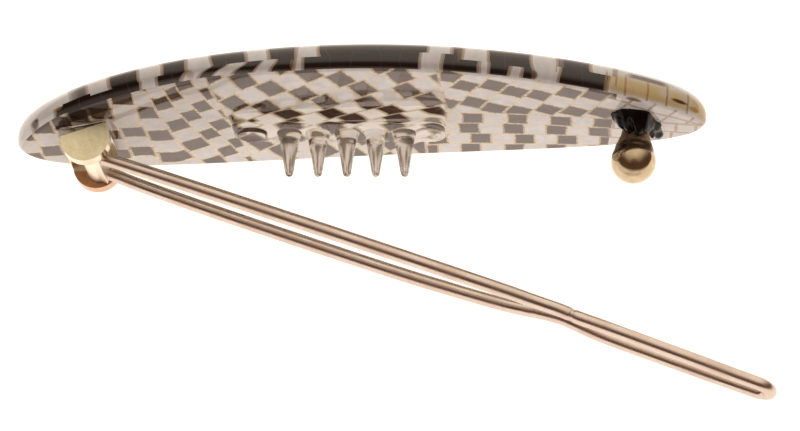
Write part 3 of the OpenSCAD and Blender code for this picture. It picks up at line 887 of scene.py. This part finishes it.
def make_pad():
    edge = 0.4
    rows = []
    q = pad_outline(0.0)
    top, bot = arch(q[:, 0]) + 0.03, pad_face(q[:, 0]) + edge
    for f in (0, 0.33, 0.67):
        rows.append(np.column_stack([q, top + (bot - top) * f]))
    for a in np.linspace(0, math.pi / 2, 8):
        q = pad_outline(edge * (1 - math.cos(a)))
        rows.append(np.column_stack([q, pad_face(q[:, 0]) + edge * (1 - math.sin(a))]))
    count = len(q)
    faces = ring_faces(len(rows), count, closed_ends=False)
    for first, flip in ((0, False), ((len(rows) - 1) * count, True)):
        for i in range(count // 2):
            ring = [i, i + 1, (count - i - 1) % count, (count - i) % count]
            ring = [first + r for k, r in enumerate(ring) if r not in ring[:k]]
            faces.append(ring[::-1] if flip else ring)
    slab = new_mesh("comb", np.concatenate(rows), faces, smooth=False)
    clean(slab)
    tools = []
    for i in range(TOOTH_N):
        x = TOOTH_X + (i - (TOOTH_N - 1) / 2) * TOOTH_PITCH
        p, f = lathe(TOOTH_ROWS, 48, 3)
        tooth = new_mesh("tooth_%d" % i, p + [x, PAD_Y, pad_face(x)], f)
        clean(tooth)
        tools.append((tooth, "UNION"))
    for x, deep, wide in ((-15.9, 0.6, 2.25), (9.85, 0.3, 2.05)):
        p, f = lathe([[-0.4, wide], [0.0, wide], [deep - 0.18, wide - 0.08], [deep - 0.05, wide - 0.2], [deep, wide - 0.4], [deep - 0.06, 1.2], [deep - 0.12, 0.01]], 56, 3)
        stub = new_mesh("stub_%d" % (x > 0), p + [x, PAD_Y, pad_face(x)], f)
        clean(stub)
        tools.append((stub, "UNION"))
    for tool, op in tools:
        m = slab.modifiers.new(tool.name, "BOOLEAN")
        m.operation, m.solver, m.object = op, "EXACT", tool
    dg = bpy.context.evaluated_depsgraph_get()
    me = bpy.data.meshes.new_from_object(slab.evaluated_get(dg))
    slab.modifiers.clear()
    slab.data = me
    for tool, _ in tools:
        bpy.data.objects.remove(tool)
    me.polygons.foreach_set("use_smooth", [True] * len(me.polygons))
    me.set_sharp_from_angle(angle=math.radians(32))
    return slab


pad = make_pad()
pad.data.materials.clear()
pad.data.materials.append(clear_resin("clear_comb", (1.0, 0.985, 0.96), 0.03, frosted=-3.3))
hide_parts("comb_pad")
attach(pad, "clip")

# ---------------------------------------------------------------- floor, light, camera
bpy.ops.mesh.primitive_plane_add(size=6.0, location=(0, 0, -0.00002))
floor = bpy.context.object
floor.name = "floor"
n = Nodes("pale_floor")
c = n.coords()
f = n.noise(c, 6.0, 2.0).outputs["Fac"]
col = n.mix(f, (0.28, 0.28, 0.28), (0.31, 0.31, 0.31))
glow = n.smooth(n.xyz(c)[1], -0.17, -0.01, 0.30, 1.25)
sh = n.principled(Base_Color=col, Roughness=0.9, Emission_Color=(1.0, 0.875, 0.79, 1), Emission_Strength=glow)
sh.inputs["Specular IOR Level"].default_value = 0.0
floor.data.materials.append(n.done(sh.outputs[0]))

# A soft warm light overhead and behind, dim and brown low down in front and at the sides
world = bpy.data.worlds.new("studio")
bpy.context.scene.world = world
world.use_nodes = True
wt = world.node_tree
wt.nodes.clear()
geo = wt.nodes.new("ShaderNodeTexCoord")
sep = wt.nodes.new("ShaderNodeSeparateXYZ")
wt.links.new(geo.outputs["Generated"], sep.inputs[0])


def wmath(op, a, b=None, clamp=False):
    m = wt.nodes.new("ShaderNodeMath")
    m.operation, m.use_clamp = op, clamp
    for s, v in zip(m.inputs, (a, b)):
        if isinstance(v, bpy.types.NodeSocket):
            wt.links.new(v, s)
        elif v is not None:
            s.default_value = v
    return m.outputs[0]


lift = wmath("ADD", wmath("MULTIPLY", sep.outputs[2], 0.8), wmath("MULTIPLY", sep.outputs[1], 0.6))
lift = wmath("SUBTRACT", lift, wmath("MULTIPLY", wmath("MULTIPLY", sep.outputs[0], sep.outputs[0]), 0.6))
step = wt.nodes.new("ShaderNodeMapRange")
step.interpolation_type = "SMOOTHSTEP"
wt.links.new(lift, step.inputs[0])
step.inputs[1].default_value, step.inputs[2].default_value = -0.25, 0.95
tone = wt.nodes.new("ShaderNodeMix")
tone.data_type = "RGBA"
# a dark corner of the room low in front
toward = wmath("ADD", wmath("MULTIPLY", sep.outputs[1], -0.80), wmath("MULTIPLY", sep.outputs[2], 0.60))
corner = wt.nodes.new("ShaderNodeMapRange")
corner.interpolation_type = "SMOOTHSTEP"
wt.links.new(toward, corner.inputs[0])
corner.inputs[1].default_value, corner.inputs[2].default_value = math.cos(math.radians(27)), math.cos(math.radians(12))
corner.inputs[3].default_value, corner.inputs[4].default_value = 1.0, 0.3
wt.links.new(wmath("MULTIPLY", step.outputs[0], corner.outputs[0]), tone.inputs[0])
tone.inputs[6].default_value = (0.135, 0.062, 0.038, 1)
tone.inputs[7].default_value = (1.28, 1.10, 0.93, 1)
bg = wt.nodes.new("ShaderNodeBackground")
wt.links.new(tone.outputs[2], bg.inputs[0])
bg.inputs[1].default_value = 1.0
wo = wt.nodes.new("ShaderNodeOutputWorld")
wt.links.new(bg.outputs[0], wo.inputs[0])

cam_data = bpy.data.cameras.new("camera")
cam = bpy.data.objects.new("camera", cam_data)
bpy.context.scene.collection.objects.link(cam)
bpy.context.scene.camera = cam
cam_data.sensor_width = 36.0
cam_data.lens = 119.4276
right = Vector((0.9997628, 0.0155104, 0.0152878))
up = Vector((-0.0217782, 0.7128466, 0.7009818))
back_v = Vector((-2.53e-05, -0.7011485, 0.7130153))
m = Matrix.Identity(4)
for i in range(3):
    m[i][0], m[i][1], m[i][2] = right[i], up[i], back_v[i]
m[0][3], m[1][3], m[2][3] = 0.0016334, -0.2665789, 0.2822161
cam.matrix_world = m
cam_data.clip_start, cam_data.clip_end = 0.01, 20
bpy.context.scene.view_settings.view_transform = "Standard"
bpy.context.scene.view_settings.look = "None"

bpy.context.view_layer.update()
